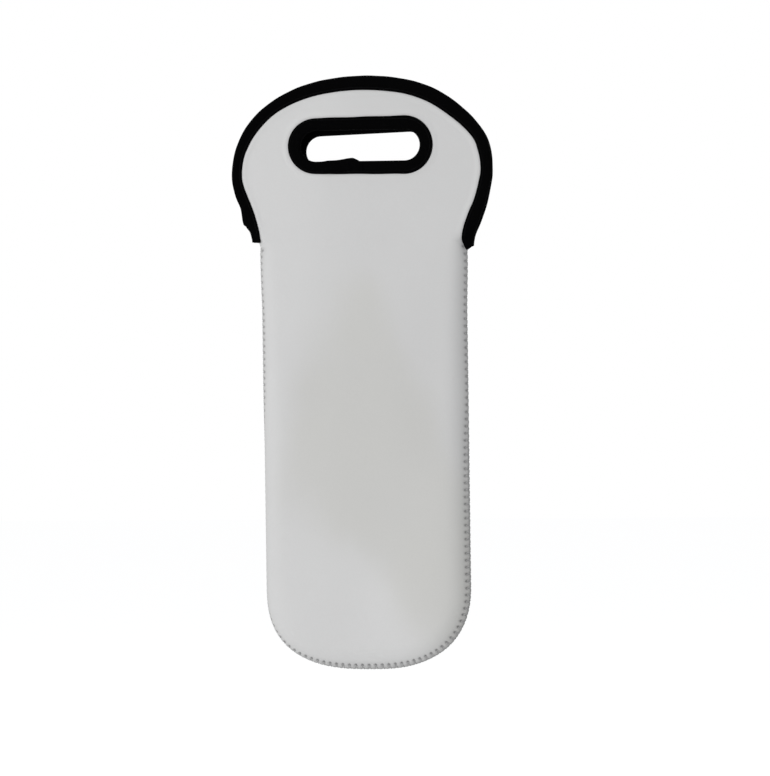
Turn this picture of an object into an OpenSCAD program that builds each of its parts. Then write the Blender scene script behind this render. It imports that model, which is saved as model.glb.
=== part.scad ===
// Soft carrier for one bottle: two neoprene panels sewn edge to edge into a flat
// pouch, each going on above the mouth as a rounded flap with a hand slot.
// The origin is the middle of the hand slot. The front faces -Y and +Z is up.

/* [Overall] */
// Height from the seam at the bottom to the top of the flaps
carrier_h = 365; // [320:1:410]
// Width across the flaps at their widest
head_w = 163; // [145:1:185]
// Width of the empty pouch, laid flat
pouch_w = 127; // [112:1:140]
// Thickness of the empty pouch at its belly
belly_t = 22; // [20:1:40]

/* [Flaps] */
// Drop from the top edge to the flap's widest place
widest_drop = 60; // [52:1:68]
// Drop from the top edge to the mouth, where the side seams end
mouth_drop = 104; // [96:1:118]
// Drop from the top edge to the middle of the hand slot
slot_drop = 43.3; // [38:0.1:50]
// Clear space between the two flaps
flap_gap = 7; // [6:0.5:12]
// Height of the strip that bends when a flap is opened
fold_h = 10; // [8:1:14]
// How far the low ends of a flap's edge stand out beyond the pouch
tail_out = 5.5; // [3:0.5:8]

/* [Hand slot] */
// Clear width of the bound slot
slot_w = 74; // [62:1:84]
// Clear height of the bound slot
slot_h = 19; // [16:0.5:24]

/* [Pouch] */
// Height of the rounded bottom
round_h = 51; // [40:1:60]
// Height over which the belly swells below the mouth
swell_h = 110; // [80:5:150]

/* [Laminate] */
// Thickness of the knitted face fabric
face_t = 0.4; // [0.3:0.05:0.6]
// Thickness of the foam core
foam_t = 2.2; // [1.6:0.1:3]
// Thickness of the knitted lining
lining_t = 0.4; // [0.3:0.05:0.6]

/* [Bindings] */
// Thickness of the binding tape
tape_t = 0.6; // [0.4:0.1:0.8]
// Width of tape that shows on each side of a flap's edge
edge_tape_w = 7.5; // [6:0.1:9]
// Width of tape that shows on each side round the hand slot
slot_tape_w = 8.2; // [6:0.1:9]
// Thickness of the thread that holds the tapes
tape_thread_d = 0.4; // [0.3:0.05:0.5]
// From a tape's raw edge to its row of stitches
tape_stitch_in = 1.4; // [1:0.1:2]

/* [Side seam] */
// Thickness of the seam's thread
seam_thread_d = 0.5; // [0.3:0.05:0.6]
// Length of one zigzag stitch along the seam
stitch_pitch = 4.2; // [3.6:0.1:6]
// From the seam to its row of needle holes
stitch_in = 2.6; // [2.2:0.1:3.4]

/* [Hidden] */

// Clearance between pieces that move apart
body_gap = 0.3;
// Clearance of a thread above what it lies on
seat_gap = 0.06;
// How far a cut runs past what it cuts
overrun = 1;

// Colours
knit_white = "#e4e4e2";
foam_white = "#f2f0ea";
lining_white = "#dadad8";
tape_black = "#141416";
thread_grey = "#b9b9b8";

// Levels, measured from the middle of the hand slot
top_z = slot_drop;
widest_z = top_z - widest_drop;
mouth_z = top_z - mouth_drop;
bottom_z = top_z - carrier_h;
fold_z = mouth_z + fold_h;
flap_z = fold_z + body_gap;

// How far the seam's thread stands off the panels' edge and its needle holes, as shares
// of its own radius and clearance, because the panels are curved under it
edge_lift_share = 1.5;
hole_lift_share = 1.1;
edge_lift = edge_lift_share * (seam_thread_d / 2 + seat_gap);
hole_lift = hole_lift_share * (seam_thread_d / 2 + seat_gap);
seam_proud = edge_lift + seam_thread_d / 2;

// The pouch's own outline, inside the thread
pouch_half = pouch_w / 2 - seam_proud;
pouch_bottom = bottom_z + seam_proud;
round_z = pouch_bottom + round_h;

// Distances of the plies from the middle plane between the flaps
lining_y = flap_gap / 2;
foam_y = lining_y + lining_t;
face_y = foam_y + foam_t;
panel_y = face_y + face_t;
tape_in_y = lining_y - tape_t;
tape_out_y = panel_y + tape_t;

// Depths of the plies below the pouch's outer face
foam_depth = face_t;
lining_depth = face_t + foam_t;
panel_t = face_t + foam_t + lining_t;

// Rounding powers of the pouch's bottom outline and of its cross-section
bottom_power = 2.45;
crown_power = 4;

// Rows of the pouch's mesh, from its mouth down one side, and round its bottom
side_rows = 9;
bottom_rows = 16;
stations = 2 * side_rows + bottom_rows;
// Rings of the pouch's mesh as shares of its half width: edge, needle holes, belly
ring_shares = [1, 1 - stitch_in / pouch_half, 0.88, 0.76, 0.58, 0.32];
rings = len(ring_shares);
// Rows of a flap's outline below and above its widest place
flare_rows = 8;
crown_rows = 36;

// Sides of the threads, and how much wider a zigzag thread is where it turns
zigzag_sides = 4;
thread_sides = 6;
turn_share = 2.5;
// Lean of the zigzag thread at a needle hole, away from the seam and off the panel
lean_away_share = 0.6;
lean_off_share = 0.8;
// Fineness of the round ends and of a straight thread
arc_fn = 64;
thread_fn = 16;

function power_cos(a, n) = sign(cos(a)) * pow(abs(cos(a)), 2 / n);
function power_sin(a, n) = pow(abs(sin(a)), 2 / n);
function unit(v) = v / norm(v);

// Half thickness of the pouch's outer face at a height, on its middle line
function swell(z) =
    let (t = max(0, min(1, (mouth_z - z) / swell_h)))
    panel_y + (belly_t / 2 - panel_y) * sin(90 * t);

// Fall of the thickness from the middle, 1, to the seam, 0
function crown(share) = sqrt(max(0, 1 - pow(share, crown_power)));

// Point on a U-shaped outline, from the mouth's left end round to its right end
function outline(i, half, low) =
    let (rise = (mouth_z - round_z) / side_rows,
         a = 180 * (i - side_rows) / bottom_rows)
    i <= side_rows ? [-half, mouth_z - rise * i]
    : i >= side_rows + bottom_rows ? [half, mouth_z - rise * (stations - i)]
    : [-half * power_cos(a, bottom_power), round_z - low * power_sin(a, bottom_power)];

// Point of the front panel at a depth below its outer face
function skin(i, share, depth) =
    let (p = outline(i, share * (pouch_half - depth), share * (round_h - depth)))
    [p[0], -(swell(p[1]) - depth) * crown(share), p[1]];

// All points of one face of a ply: the rings, then the middle line
function skin_points(depth) = concat(
    [for (share = ring_shares, i = [0:stations]) skin(i, share, depth)],
    [for (i = [0:side_rows]) skin(i, 0, depth)]);

ring_count = stations + 1;
face_count = rings * ring_count + side_rows + 1;
function at(ring, i) = ring * ring_count + i;
function middle(i) = rings * ring_count + min(i, stations - i, side_rows);

// Triangles of a ply's outer face
skin_faces = concat(
    [for (k = [0:rings - 2], i = [0:stations - 1])
        each [[at(k, i), at(k + 1, i), at(k + 1, i + 1)],
              [at(k, i), at(k + 1, i + 1), at(k, i + 1)]]],
    [for (i = [0:stations - 1])
        [at(rings - 1, i), middle(i), at(rings - 1, i + 1)]],
    [for (i = [0:stations - 1])
        if (middle(i) != middle(i + 1))
            [middle(i), middle(i + 1), at(rings - 1, i + 1)]]);

// Indices along the mouth, from the left seam over the middle to the right seam
mouth_row = concat(
    [for (k = [0:rings - 1]) at(k, 0)],
    [middle(0)],
    [for (k = [rings - 1:-1:0]) at(k, stations)]);

// One ply of the pouch's front panel, between two depths
module pouch_ply(outer, inner) {
    faces = concat(
        skin_faces,
        [for (f = skin_faces) [f[0] + face_count, f[2] + face_count, f[1] + face_count]],
        [for (i = [0:stations - 1])
            each [[i, i + 1, i + 1 + face_count],
                  [i, i + 1 + face_count, i + face_count]]],
        [for (j = [0:len(mouth_row) - 2])
            let (a = mouth_row[j], b = mouth_row[j + 1])
            each [[a, a + face_count, b + face_count],
                  [a, b + face_count, b]]]);
    polyhedron(points = concat(skin_points(outer), skin_points(inner)), faces = faces);
}

// Half width of a flap's edge at a height below its widest place
function flare(z, inset) =
    let (t = max(0, min(1, (z - mouth_z) / (widest_z - mouth_z))),
         tail = pouch_w / 2 + tail_out)
    tail + (head_w / 2 - tail) * sin(90 * t) - inset;

// Edge of a flap, from its low right end over the top to its low left end
function head_edge(inset, low) =
    let (step = (widest_z - low) / flare_rows,
         side = [for (j = [0:flare_rows - 1]) [flare(low + step * j, inset), low + step * j]])
    concat(
        side,
        [for (j = [0:crown_rows])
            let (a = 180 * j / crown_rows)
            [(head_w / 2 - inset) * cos(a), widest_z + (widest_drop - inset) * sin(a)]],
        [for (j = [flare_rows - 1:-1:0]) [-side[j][0], side[j][1]]]);

// Outline of a flap between two levels
module head_2d(inset, low, high) {
    intersection() {
        polygon(head_edge(inset, mouth_z));
        translate([-head_w, low]) square([2 * head_w, high - low]);
    }
}

// Outline of the hand slot, grown all round
module slot_2d(grow) {
    r = slot_h / 2 + grow;
    half = (slot_w - slot_h) / 2;
    translate([-half, 0]) circle(r, $fn = arc_fn);
    translate([half, 0]) circle(r, $fn = arc_fn);
    translate([-half, -r]) square([2 * half, 2 * r]);
}

// Extrudes a front view between two distances in front of the middle plane
module slab(near, far) {
    rotate([90, 0, 0]) translate([0, 0, near]) linear_extrude(far - near) children();
}

// One ply of the front flap
module flap_ply(near, far) {
    slab(near, far) difference() {
        head_2d(tape_t, flap_z, top_z);
        slot_2d(tape_t);
    }
}

// Tape folded over the front flap's edge, between two levels
module edge_channel(low, high) {
    difference() {
        slab(tape_in_y, tape_out_y) difference() {
            head_2d(0, low, high);
            head_2d(edge_tape_w, low - overrun, high + overrun);
        }
        slab(lining_y, panel_y) head_2d(tape_t, low - overrun, high + overrun);
    }
}

// Tape folded over the edge of the front flap's hand slot
module slot_channel() {
    difference() {
        slab(tape_in_y, tape_out_y) difference() {
            slot_2d(slot_tape_w);
            slot_2d(0);
        }
        slab(lining_y, panel_y) difference() {
            slot_2d(slot_tape_w + overrun);
            slot_2d(tape_t);
        }
    }
}

// Round thread through a list of points, with an outward direction and a width at each
module thread(points, outward, widths, d, sides) {
    last = len(points) - 1;
    ring_points = [for (i = [0:last])
        let (t = unit(points[min(i + 1, last)] - points[max(i - 1, 0)]),
             side = unit(cross(t, outward[i])),
             up = cross(side, t))
        for (s = [0:sides - 1])
            let (a = 360 * s / sides)
            points[i] + d / 2 * (cos(a) * up + sin(a) * widths[i] * side)];
    wall = [for (i = [0:last - 1], s = [0:sides - 1])
        let (a = i * sides + s, b = i * sides + (s + 1) % sides)
        each [[a, b, b + sides], [a, b + sides, a + sides]]];
    near_cap = [for (s = [sides - 1:-1:0]) s];
    far_cap = [for (s = [0:sides - 1]) last * sides + s];
    polyhedron(points = ring_points, faces = concat(wall, [near_cap, far_cap]));
}

// Row of stitches round a flap's edge, at a distance in front of the middle plane
module edge_row(y) {
    path = head_edge(edge_tape_w - tape_stitch_in, flap_z + overrun);
    points = [for (p = path) [p[0], -y, p[1]]];
    thread(points, [for (p = path) [0, -1, 0]], [for (p = path) 1],
           tape_thread_d, thread_sides);
}

// Row of stitches round the hand slot, at a distance in front of the middle plane
module slot_row(y) {
    r = slot_h / 2 + slot_tape_w - tape_stitch_in;
    half = (slot_w - slot_h) / 2;
    for (side = [-1, 1]) {
        translate([side * half, -y, 0]) rotate([90, 0, 0]) rotate([0, 0, -90 * side])
            rotate_extrude(angle = 180, $fn = arc_fn)
                translate([r, 0]) circle(d = tape_thread_d, $fn = thread_fn);
        translate([-half, -y, side * r]) rotate([0, 90, 0])
            cylinder(h = 2 * half, d = tape_thread_d, $fn = thread_fn);
    }
}

// Heights of the tape threads: on the tape's outer leg, and on its inner leg
needle_y = tape_out_y + seat_gap + tape_thread_d / 2;
bobbin_y = tape_in_y - seat_gap - tape_thread_d / 2;

// The zigzag seam's run along the panels' edge
edge_line = [for (i = [0:stations]) skin(i, 1, 0)];
hole_line = [for (i = [0:stations]) skin(i, ring_shares[1], 0)];
edge_run = [for (i = 0, run = 0;
                 i <= stations;
                 run = run + (i < stations ? norm(edge_line[i + 1] - edge_line[i]) : 0),
                 i = i + 1)
            [run, i]];
seam_length = edge_run[stations][0];
stitches = floor(seam_length / stitch_pitch) - 1;
seam_start = (seam_length - stitches * stitch_pitch) / 2;

function between(line, station) =
    let (i = min(floor(station), stations - 1), t = station - i)
    line[i] * (1 - t) + line[i + 1] * t;

// Four points a stitch: front hole, over the edge, back hole, over the edge
function zigzag(step) =
    let (station = lookup(seam_start + step * stitch_pitch / 4, edge_run),
         edge = between(edge_line, station),
         hole = between(hole_line, station),
         away = unit([edge[0] - hole[0], 0, edge[2] - hole[2]]),
         phase = step % 4)
    phase % 2 == 1 ? [edge + edge_lift * away, away, 1]
    : let (face = phase == 0 ? -1 : 1,
           lean = lean_away_share * away + [0, lean_off_share * face, 0])
      [[hole[0], hole[1] * -face, hole[2]] + hole_lift * lean, lean, turn_share];

module front_pouch_fabric() { color(knit_white) pouch_ply(0, foam_depth); }
module front_pouch_foam() { color(foam_white) pouch_ply(foam_depth, lining_depth); }
module front_pouch_lining() { color(lining_white) pouch_ply(lining_depth, panel_t); }
module back_pouch_fabric() { mirror([0, 1, 0]) front_pouch_fabric(); }
module back_pouch_foam() { mirror([0, 1, 0]) front_pouch_foam(); }
module back_pouch_lining() { mirror([0, 1, 0]) front_pouch_lining(); }

// Zigzag thread of the U-shaped seam that joins the two panels
module side_seam_thread() {
    run = [for (step = [0:4 * stitches]) zigzag(step)];
    color(thread_grey)
        thread([for (p = run) p[0]], [for (p = run) p[1]], [for (p = run) p[2]],
               seam_thread_d, zigzag_sides);
}

// Strip of a panel that bends when its flap is opened
module front_fold() {
    color(knit_white) slab(lining_y, panel_y) head_2d(tape_t, mouth_z, fold_z);
}
module back_fold() { mirror([0, 1, 0]) front_fold(); }

// Ends of the edge tape, over the bending strip
module front_binding_tails() { color(tape_black) edge_channel(mouth_z, fold_z); }
module back_binding_tails() { mirror([0, 1, 0]) front_binding_tails(); }

module front_flap_fabric() { color(knit_white) flap_ply(face_y, panel_y); }
module front_flap_foam() { color(foam_white) flap_ply(foam_y, face_y); }
module front_flap_lining() { color(lining_white) flap_ply(lining_y, foam_y); }
module front_edge_binding() { color(tape_black) edge_channel(flap_z, top_z); }
module front_slot_binding() { color(tape_black) slot_channel(); }

// Lockstitch of the tapes: a needle thread outside and a bobbin thread inside
module front_edge_stitch() {
    color(tape_black) edge_row(needle_y);
    color(tape_black) edge_row(bobbin_y);
}
module front_slot_stitch() {
    color(tape_black) slot_row(needle_y);
    color(tape_black) slot_row(bobbin_y);
}

module back_flap_fabric() { mirror([0, 1, 0]) front_flap_fabric(); }
module back_flap_foam() { mirror([0, 1, 0]) front_flap_foam(); }
module back_flap_lining() { mirror([0, 1, 0]) front_flap_lining(); }
module back_edge_binding() { mirror([0, 1, 0]) front_edge_binding(); }
module back_edge_stitch() { mirror([0, 1, 0]) front_edge_stitch(); }
module back_slot_binding() { mirror([0, 1, 0]) front_slot_binding(); }
module back_slot_stitch() { mirror([0, 1, 0]) front_slot_stitch(); }

front_pouch_fabric();
front_pouch_foam();
front_pouch_lining();
back_pouch_fabric();
back_pouch_foam();
back_pouch_lining();
side_seam_thread();
front_fold();
back_fold();
front_binding_tails();
back_binding_tails();
front_flap_fabric();
front_flap_foam();
front_flap_lining();
front_edge_binding();
front_edge_stitch();
front_slot_binding();
front_slot_stitch();
back_flap_fabric();
back_flap_foam();
back_flap_lining();
back_edge_binding();
back_edge_stitch();
back_slot_binding();
back_slot_stitch();
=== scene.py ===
import math

import bpy
import numpy as np
from mathutils import Matrix, Vector


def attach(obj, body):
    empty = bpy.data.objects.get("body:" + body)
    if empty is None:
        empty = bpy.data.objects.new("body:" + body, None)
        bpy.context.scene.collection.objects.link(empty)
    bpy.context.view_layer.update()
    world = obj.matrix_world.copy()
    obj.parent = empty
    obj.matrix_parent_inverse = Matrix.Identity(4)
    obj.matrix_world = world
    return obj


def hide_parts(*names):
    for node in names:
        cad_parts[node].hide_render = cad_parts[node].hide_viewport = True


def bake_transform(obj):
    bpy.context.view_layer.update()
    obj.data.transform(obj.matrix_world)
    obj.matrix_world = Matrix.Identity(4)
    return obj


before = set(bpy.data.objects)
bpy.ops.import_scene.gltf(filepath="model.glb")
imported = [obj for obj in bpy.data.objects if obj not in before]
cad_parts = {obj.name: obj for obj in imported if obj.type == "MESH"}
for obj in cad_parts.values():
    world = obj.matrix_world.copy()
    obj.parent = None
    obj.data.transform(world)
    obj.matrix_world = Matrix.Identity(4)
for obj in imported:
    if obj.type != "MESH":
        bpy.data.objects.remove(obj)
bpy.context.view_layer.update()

# A soft neoprene carrier for one bottle: two flat panels sewn edge to edge in a U, which go
# on above the mouth as two rounded flaps with a taped edge and a hand slot.
# Shapes are worked out in millimetres, x to the right, z up, and y from the front to the back.
# A panel's height is the distance of its skin from the middle plane, towards its own face.
# A way is a length along a line, and an arc is a length round the stitched edge.

MM = 0.001
FRONT, BACK = 1, -1
NAME = {FRONT: "front", BACK: "back"}
SHARP_DEG = 58.0

# pouch: its levels and half width, the curve of its round bottom, its stitched edge and the
# skin's depth at the mouth, at the shoulder and over the belly, and its plies
MOUTH_Z = -60.7
ROUND_Z = -269.7
BOTTOM_Z = -321.5
POUCH_HALF = 64.0
MOUTH_WIDEN = 0.7
WIDEN_Z = -105.0
WIDEN_H = 35.0
ROUND_POWER = 2.6
CORNER_IN = 1.1
CORNER_UP = 0.35
EDGE_R = 3.2
EDGE_SLOPE = 1.05
EDGE_TURN = 0.5 * math.pi - math.atan(EDGE_SLOPE)
MOUTH_DEPTH = 6.5
SHOULDER_DEPTH = 8.1
BELLY_EXTRA = 2.4
BELLY_IN = 6.0
BELLY_REACH = 44.0
SWELL_H = 110.0
RISE_POWER = 2.2
LAMINATE = 3.0
SKIN = 0.4
PLY_GAP = 0.03

# soft hollows and swellings: height, middle and half width in x, middle and half height in z
SOFT_FORMS = {
    FRONT: ((-1.0, -2.0, 36.0, -165.0, 78.0), (-0.3, -30.0, 18.0, -170.0, 120.0),
            (0.5, 40.0, 20.0, -240.0, 60.0), (-0.5, 0.0, 42.0, -34.0, 16.0)),
    BACK: ((-0.8, 9.0, 38.0, -190.0, 70.0), (0.5, -22.0, 22.0, -130.0, 90.0),
           (-0.4, 0.0, 40.0, -36.0, 16.0)),
}
# one slow wave over them: its scale and start in x, and in z
SOFT_WAVE = {FRONT: (15.0, 1.3, 31.0, 0.4), BACK: (18.0, 2.2, 27.0, 1.9)}
WAVE_HEIGHT = 0.12
RELIEF_IN = 3.0
RELIEF_REACH = 15.0

# side seam: its stitches, what they do to the skin, and how far the panels' join turns round
# the edge towards the back, in degrees at shares of the U from left to right
STITCHES = 146
PITCH_GROWTH = 0.127
STATIONS = 828
NEEDLE_ARC = 4.15
NEEDLE_LAG = 1.0 / 3.0
SEAM_END = 3.0
PUFF = 0.17
PUFF_LEAN = 0.12
GROOVE, GROOVE_HALF = 0.18, 1.1
HOLE, HOLE_LONG, HOLE_WIDE = 0.5, 0.62, 0.68
JOIN, JOIN_HALF = 0.16, 0.5
ROLL_REACH = 22.0
ROLL_SHARE = (0.0, 0.006, 0.014, 0.03, 0.046, 0.076, 0.1, 0.127, 0.157, 0.18, 0.205,
              0.24, 0.34, 0.4, 0.44, 0.5, 0.56, 0.6, 0.64, 0.7, 0.76, 0.79, 0.812,
              0.83, 0.845, 0.865, 0.89, 0.934, 0.97, 0.986, 0.994, 1.0)
ROLL_DEG = (0.0, 30.0, 42.0, 44.0, 43.0, 36.0, 35.0, 39.0, 48.0, 64.0, 77.0,
            80.0, 80.0, 45.0, 18.0, 1.0, 2.0, 8.0, 14.0, 14.0, 15.0, 18.0, 27.0,
            40.0, 48.0, 47.0, 43.0, 41.0, 41.0, 40.0, 30.0, 0.0)

# head: half widths, top and curve, the half widths of both necks, and where the tails end
LEFT_HALF = 81.5
RIGHT_HALF = 80.8
HEAD_TOP = 43.3
HEAD_RISE = 60.8
HEAD_POWER = 2.18
HEAD_STEP = 0.8
WIDEST_Z = HEAD_TOP - HEAD_RISE
LEFT_NECK_Z = (-65.0, -60.0, -56.3, -51.3, -46.3, -41.3, -36.3, -31.3, -26.0, WIDEST_Z)
LEFT_NECK = (69.3, 69.3, 69.5, 70.4, 72.0, 74.0, 76.2, 78.5, 80.2, LEFT_HALF)
RIGHT_NECK_Z = (-65.0, -62.5, -55.0, -47.5, -40.0, -32.5, -25.0, WIDEST_Z)
RIGHT_NECK = (68.6, 68.6, 70.1, 73.1, 75.9, 78.1, 79.7, RIGHT_HALF)
RIGHT_BUMPS = ((0.9, 1.0, 11.0), (-1.0, 25.0, 10.0))  # how far out, at what z, half height
TAIL_LEFT_Z = -57.4
TAIL_RIGHT_Z = -62.3
NECK_JOIN = 14.7
FLAP_SHIFT = 0.3
SHIFT_Z = -50.0
SHIFT_H = 25.0
FLAT_H = 16.0
OUTLINE_H = 6.0

# edge tape: its visible width at ways from the head's top, and how far the tails are slanted
TAPE_T = 0.58
TAPE_GAP = 0.04
TAPE_FOLD_R = 2.1
TAPE_PLACE = (-157.0, -153.0, -147.0, -139.0, -133.0, -128.0, -121.0, -114.0, -104.5,
              -98.0, -91.5, -84.5, -76.8, -60.0, -46.0, -33.0, -20.0, 0.0,
              17.0, 30.0, 44.0, 62.5, 78.6, 91.6, 99.0, 105.5, 112.0,
              119.6, 127.6, 134.0, 140.6, 147.2, 152.0, 155.5, 158.2, 160.7)
TAPE_WIDTH = (5.4, 5.8, 6.3, 6.9, 7.2, 7.35, 6.95, 6.65, 6.65,
              6.85, 7.3, 7.55, 7.8, 7.75, 8.1, 8.4, 8.7, 8.8,
              9.0, 8.85, 8.95, 9.0, 8.1, 7.2, 7.2, 6.7, 6.4,
              6.6, 6.9, 7.1, 7.6, 7.6, 7.3, 6.8, 5.5, 3.5)
TAIL_SLANT = {FRONT: (1.0, 3.1), BACK: (0.4, 2.0)}
SLANT_LENGTH = 9.0
TAIL_RAISE = 0.45
STEP_WAY, STEP_ABOVE, STEP_BELOW = 10.6, 2.2, 1.2
PRESS, PRESS_HALF = 0.30, 1.1
EDGE_LIP, SLOT_LIP, LIP_HALF = 0.42, 0.38, 1.5
PANEL_IN = 0.95

# slot and its tape, whose end laps over its start at the bottom
SLOT_CORE = 27.7
SLOT_R = 9.45
SLOT_BEND = math.pi * SLOT_R
SLOT_ROUND = 4 * SLOT_CORE + 2 * SLOT_BEND
SLOT_MIDDLE = {FRONT: (-0.2, 0.4), BACK: (1.2, -1.2)}
SLOT_TILT = {FRONT: -0.75, BACK: 1.2}
SLOT_TAPE_W = 7.95
LAP_LENGTH = 14.4
LAP_START_X = -19.0
LAP_LIFT = 0.62
LAP_INTO_SLOT = 1.45
LAP_SLANT = 6.5
SLOT_TAPE_STEP = 0.75
AWAY = 90.0  # a distance at which a tape presses no more

# threads
STITCH_IN = 1.4
TOP_PITCH = 3.2
POINTS_A_STITCH = 6
TOP_THREAD_R = 0.2
TOP_ARCH, TOP_DIVE = 0.17, 0.42
SEAM_THREAD_R = 0.24
SEAM_THREAD_OUT, SEAM_THREAD_DIVE = 0.16, 0.95
THREAD_SIDES = 6


def smooth(t):
    """3t^2 - 2t^3, with t held between 0 and 1."""
    t = np.clip(t, 0.0, 1.0)
    return t * t * (3.0 - 2.0 * t)


def bell(t):
    """e to the power of -t^2."""
    return np.exp(-np.square(t))


def curve_through(x, knots, values, last_slope=None):
    """A cubic Hermite curve through the knots, with slopes from their neighbours."""
    knots, values = np.asarray(knots, float), np.asarray(values, float)
    slopes = np.gradient(values, knots)
    if last_slope is not None:
        slopes[-1] = last_slope
    x = np.clip(x, knots[0], knots[-1])
    i = np.clip(np.searchsorted(knots, x, side="right") - 1, 0, len(knots) - 2)
    step = knots[i + 1] - knots[i]
    t = (x - knots[i]) / step
    a, b = 1.0 + 2.0 * t, 1.0 - t
    start = values[i] * a * b * b + slopes[i] * step * t * b * b
    end = values[i + 1] * t * t * (3.0 - 2.0 * t) - slopes[i + 1] * step * t * t * b
    return start + end


def way_along(x, z):
    """The length of a line up to each of its points."""
    return np.concatenate([[0.0], np.cumsum(np.hypot(np.diff(x), np.diff(z)))])


def grid_triangles(index, closed=False):
    """Two triangles for each cell of a grid of vertex numbers; cells shrunk to a line go."""
    if closed:
        index = np.concatenate([index, index[:1]])
    a, b, c, d = index[:-1, :-1], index[1:, :-1], index[1:, 1:], index[:-1, 1:]
    tris = np.concatenate([np.stack([a, b, c], -1).reshape(-1, 3),
                           np.stack([a, c, d], -1).reshape(-1, 3)])
    first, second, third = tris.T
    return tris[(first != second) & (second != third) & (first != third)]


def facing_front(tris, x, z):
    """The same triangles, turned so that their summed area in x and z is positive."""
    px, pz = x[tris], z[tris]
    area = ((px[:, 1] - px[:, 0]) * (pz[:, 2] - pz[:, 0])
            - (px[:, 2] - px[:, 0]) * (pz[:, 1] - pz[:, 0]))
    return tris if area.sum() > 0 else tris[:, ::-1]


def shell(outer, inner, tris):
    """A closed shell: the outer skin, the inner one turned over, and walls along their rims."""
    count = len(outer)
    edges = np.concatenate([tris[:, [0, 1]], tris[:, [1, 2]], tris[:, [2, 0]]])
    code = edges[:, 0] * count + edges[:, 1]
    a, b = edges[~np.isin(code, edges[:, 1] * count + edges[:, 0])].T
    walls = np.concatenate([np.stack([b, a, a + count], -1),
                            np.stack([b, a + count, b + count], -1)])
    return np.concatenate([outer, inner]), np.concatenate([tris, tris[:, ::-1] + count, walls])


def make_piece(name, points, tris, material, attribute=None, values=None):
    """A mesh from points in millimetres and triangles, with its faces outwards."""
    corners = points[tris]
    volume = np.einsum("ij,ij->i", corners[:, 0], np.cross(corners[:, 1], corners[:, 2])).sum()
    if volume < 0:
        tris = tris[:, ::-1]
    mesh = bpy.data.meshes.new(name)
    mesh.vertices.add(len(points))
    mesh.vertices.foreach_set("co", (points * MM).astype(np.float32).ravel())
    mesh.loops.add(tris.size)
    mesh.loops.foreach_set("vertex_index", np.ascontiguousarray(tris, dtype=np.int32).ravel())
    mesh.polygons.add(len(tris))
    mesh.polygons.foreach_set("loop_start", np.arange(0, tris.size, 3, dtype=np.int32))
    mesh.polygons.foreach_set("use_smooth", np.ones(len(tris), dtype=bool))
    mesh.update(calc_edges=True)
    mesh.validate()
    mesh.set_sharp_from_angle(angle=math.radians(SHARP_DEG))
    if attribute:
        layer = mesh.attributes.new(attribute, "FLOAT_VECTOR", "POINT")
        layer.data.foreach_set("vector", values.astype(np.float32).ravel())
    mesh.materials.append(material)
    piece = bpy.data.objects.new(name, mesh)
    bpy.context.scene.collection.objects.link(piece)
    return piece


def hinge_blend(piece):
    """Bakes the piece's transform into its mesh."""
    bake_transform(piece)


def stand_for(piece, slot, *nodes):
    """Hides the CAD nodes that the piece stands for; the piece and the slot are not used."""
    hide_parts(*nodes)


# the stitched edge

def dense_half_seam():
    """The left half of the U, from the mouth to the middle of the bottom.

    Straight down the side, then |x/a|^p + |z/b|^p = 1 about the level where the round starts.
    Returns the way along it, its place and its outward direction.
    """
    t = np.linspace(0.0, 1.0, 2401)
    z1 = MOUTH_Z + (ROUND_Z - MOUTH_Z) * t
    x1 = -(POUCH_HALF + MOUTH_WIDEN * smooth((z1 - WIDEN_Z) / WIDEN_H))
    turn = 0.5 * math.pi * t[1:]
    depth = ROUND_Z - BOTTOM_Z
    share_x = np.cos(turn).clip(0.0) ** (2.0 / ROUND_POWER)
    share_z = np.sin(turn) ** (2.0 / ROUND_POWER)
    x = np.concatenate([x1, -POUCH_HALF * share_x])
    z = np.concatenate([z1, ROUND_Z - depth * share_z])
    out_x = np.concatenate([-np.ones_like(t), -share_x ** (ROUND_POWER - 1.0) / POUCH_HALF])
    out_z = np.concatenate([np.zeros_like(t), -share_z ** (ROUND_POWER - 1.0) / depth])
    norm = np.hypot(out_x, out_z)
    return way_along(x, z), x, z, out_x / norm, out_z / norm


HALF_SEAM = dense_half_seam()
SEAM_LENGTH = 2.0 * HALF_SEAM[0][-1]
PITCH = SEAM_LENGTH / STITCHES


def stitch_at(way):
    """Stitches up to a way along the U, N/k ln(1 + (e^k - 1) way/length).

    The pitch grows evenly from the left end to the right one.
    """
    return STITCHES / PITCH_GROWTH * np.log1p(math.expm1(PITCH_GROWTH) * way / SEAM_LENGTH)


def way_at(stitch):
    """The way along the U at a stitch: the inverse of stitch_at."""
    return SEAM_LENGTH * np.expm1(PITCH_GROWTH * stitch / STITCHES) / math.expm1(PITCH_GROWTH)


def seam_at(way):
    """Place and outward direction of the stitched edge at a way along the U, left to right."""
    folded = np.minimum(way, SEAM_LENGTH - way)
    sign = np.where(way <= 0.5 * SEAM_LENGTH, 1.0, -1.0)
    x, z, out_x, out_z = (np.interp(folded, HALF_SEAM[0], part) for part in HALF_SEAM[1:])
    return sign * x, z, sign * out_x, out_z


def rolled(arc, way, side):
    """The arc from the edge's outermost line, for an arc from the join of the two panels.

    The join turns round the edge towards the back by named angles, less and less inwards.
    """
    roll = np.radians(curve_through(way / SEAM_LENGTH, ROLL_SHARE, ROLL_DEG))
    return arc - side * EDGE_R * roll * (1.0 - smooth(np.abs(arc) / ROLL_REACH))


def swelling(z):
    """How far the pouch has swollen at a level, 0 to 1: a quarter sine down from the mouth."""
    return np.sin(0.5 * math.pi * np.clip((MOUTH_Z - z) / SWELL_H, 0.0, 1.0))


def rise(past, room):
    """Height gained past the round edge, room (1-(1-s)^p), and its slope, which starts at m."""
    reach = room * RISE_POWER / EDGE_SLOPE
    left = 1.0 - np.clip(past / reach, 0.0, 1.0)
    return room * (1.0 - left ** RISE_POWER), EDGE_SLOPE * left ** (RISE_POWER - 1.0)


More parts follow.
